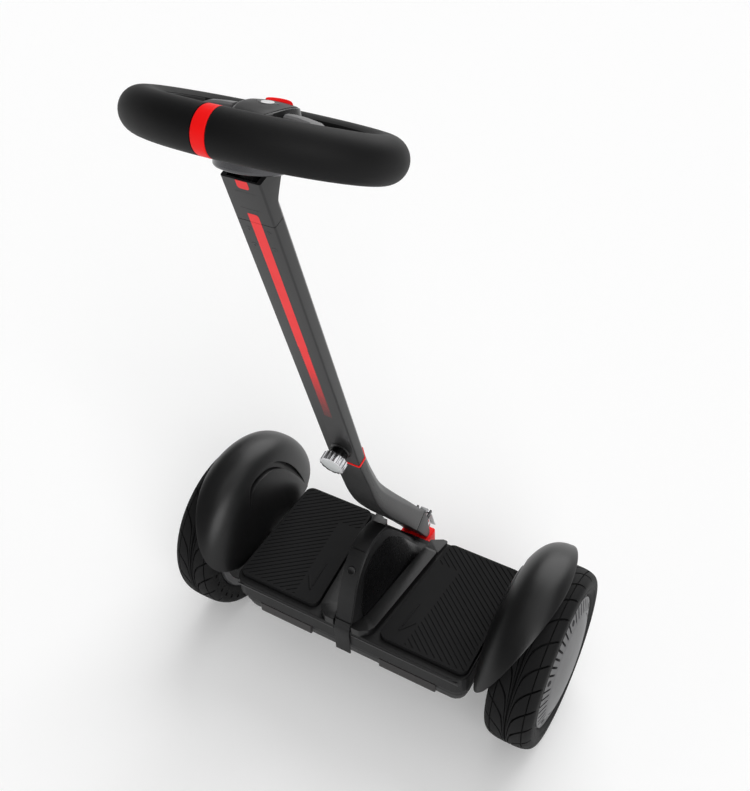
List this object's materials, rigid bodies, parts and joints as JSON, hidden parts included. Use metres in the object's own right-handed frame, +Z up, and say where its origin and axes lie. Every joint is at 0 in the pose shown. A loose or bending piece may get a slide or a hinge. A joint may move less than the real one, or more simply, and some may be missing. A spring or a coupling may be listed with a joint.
{
  "type": "self-balancing personal transporter",
  "caption": "Two-wheeled self-balancing ride-on with foot mats, mudguards and a telescopic leaning column topped by an oval rim.",
  "frame": {"origin": "on the floor under the middle of the whole object's bounding box; the axle line is at y 0.053, z 0.134", "axes": "+X to the rider's right along the axle line, +Y forward (the way the rider faces), +Z up"},
  "size_m": [0.617, 0.4237, 1.0034],
  "materials": {
    "body_black": "fine moulded texture",
    "gloss_black": "satin to gloss",
    "mat_rubber": "matt, moulded ribs",
    "tyre_rubber": "matt, grooved tread",
    "grip_foam": "matt soft-touch foam skin",
    "column_grey": "satin paint",
    "accent_red": "satin",
    "hub_silver": "satin",
    "frame_metal": "bead blasted",
    "chrome": "polished",
    "steel": "machined",
    "copper": "varnished windings",
    "lamp_red": "unlit lens",
    "lamp_clear": "unlit lens",
    "button_white": "satin",
    "board_green": "circuit board",
    "battery_blue": "shrink wrap"
  },
  "bodies": {
    "chassis": {"lower_shell": "body_black", "deck_cover": "body_black", "chassis_frame": "frame_metal", "battery_pack": "battery_blue", "control_board": "board_green", "torsion_bush": "mat_rubber", "pressure_switch_left": "gloss_black", "pressure_switch_right": "gloss_black", "hump_housing": "body_black", "hump_panel_left": "gloss_black", "hump_panel_right": "gloss_black", "spine_cover_lower": "body_black", "spine_cover_middle": "body_black", "spine_cover_upper": "body_black", "side_rail_left": "body_black", "side_rail_right": "body_black", "tail_light_left": "lamp_red", "tail_light_right": "lamp_red", "headlight": "lamp_clear", "charging_socket": "gloss_black", "fender_left": "body_black", "fender_right": "body_black", "axle_left": "steel", "axle_right": "steel", "motor_stator_left": "copper", "motor_stator_right": "copper"},
    "wheel_left": {"tyre_left": "tyre_rubber", "rim_shell_left": "hub_silver", "hub_ring_left": "hub_silver", "hub_cap_left": "hub_silver"},
    "wheel_right": {"tyre_right": "tyre_rubber", "rim_shell_right": "hub_silver", "hub_ring_right": "hub_silver", "hub_cap_right": "hub_silver"},
    "mat_left": {"foot_mat_left": "mat_rubber"},
    "mat_right": {"foot_mat_right": "mat_rubber"},
    "power_key": {"power_button": "body_black"},
    "flap": {"charging_flap": "mat_rubber"},
    "stem": {"stem_foot": "accent_red", "steering_shaft": "steel", "neck": "column_grey", "neck_end_block": "column_grey", "inner_mast": "frame_metal", "height_collar": "accent_red", "latch_bracket": "chrome", "latch_pin": "steel"},
    "lever": {"latch_lever": "chrome"},
    "bail": {"latch_bail": "chrome"},
    "column": {"column_tube": "column_grey", "column_head": "column_grey", "knob_collar": "gloss_black", "rim_boss": "frame_metal", "rim_frame": "gloss_black", "rim_grip": "grip_foam", "rim_band": "accent_red", "dash_housing": "gloss_black", "dash_crest": "accent_red"},
    "screw": {"clamp_screw": "steel"},
    "knob": {"height_knob": "chrome"},
    "mode_key": {"mode_button": "button_white"}
  },
  "joints": [
    {"name": "wheel_left_spin", "type": "hinge", "parent": "chassis", "child": "wheel_left", "pos_m": [-0.264, 0.053, 0.134], "axis": [1, 0, 0], "continuous": true},
    {"name": "wheel_right_spin", "type": "hinge", "parent": "chassis", "child": "wheel_right", "pos_m": [0.264, 0.053, 0.134], "axis": [1, 0, 0], "continuous": true},
    {"name": "stem_lean", "type": "hinge", "parent": "chassis", "child": "stem", "pos_m": [0, 0.153, 0.118], "axis": [0, 1, 0], "range_deg": [-18, 18], "stiffness_Nm_per_rad": 80},
    {"name": "column_height", "type": "slide", "parent": "stem", "child": "column", "axis": [0, -0.2689, 0.9632], "range_m": [0, 0.105]},
    {"name": "knob_turn", "type": "hinge", "parent": "screw", "child": "knob", "pos_m": [0, -0.03023, 0.49002], "axis": [0, -0.9632, -0.2689], "range_deg": [0, 720]},
    {"name": "screw_travel", "type": "slide", "parent": "column", "child": "screw", "axis": [0, -0.9632, -0.2689], "range_m": [0, 0.0026]},
    {"name": "latch_open", "type": "hinge", "parent": "stem", "child": "lever", "pos_m": [0, 0.1912, 0.1614], "axis": [1, 0, 0], "range_deg": [0, 100]},
    {"name": "bail_swing", "type": "hinge", "parent": "lever", "child": "bail", "pos_m": [0, 0.1914, 0.14708], "axis": [1, 0, 0], "range_deg": [-61, 0]},
    {"name": "mat_left_press", "type": "slide", "parent": "chassis", "child": "mat_left", "axis": [0, 0, -1], "range_m": [0, 0.0015], "stiffness_N_per_m": 40000},
    {"name": "mat_right_press", "type": "slide", "parent": "chassis", "child": "mat_right", "axis": [0, 0, -1], "range_m": [0, 0.0015], "stiffness_N_per_m": 40000},
    {"name": "power_press", "type": "slide", "parent": "chassis", "child": "power_key", "axis": [0, 0.8158, -0.5783], "range_m": [0, 0.0008], "stiffness_N_per_m": 900},
    {"name": "mode_press", "type": "slide", "parent": "column", "child": "mode_key", "axis": [0, -0.4368, -0.8996], "range_m": [0, 0.001], "stiffness_N_per_m": 900},
    {"name": "flap_open", "type": "hinge", "parent": "chassis", "child": "flap", "pos_m": [-0.11, 0.1517, 0.1215], "axis": [1, 0, 0], "range_deg": [0, 100]}
  ],
  "couplings": [
    {"joint": "screw_travel", "follows": "knob_turn", "m_per_rad": 0.00019894},
    {"joint": "bail_swing", "follows": "latch_open", "ratio": -0.6}
  ]
}
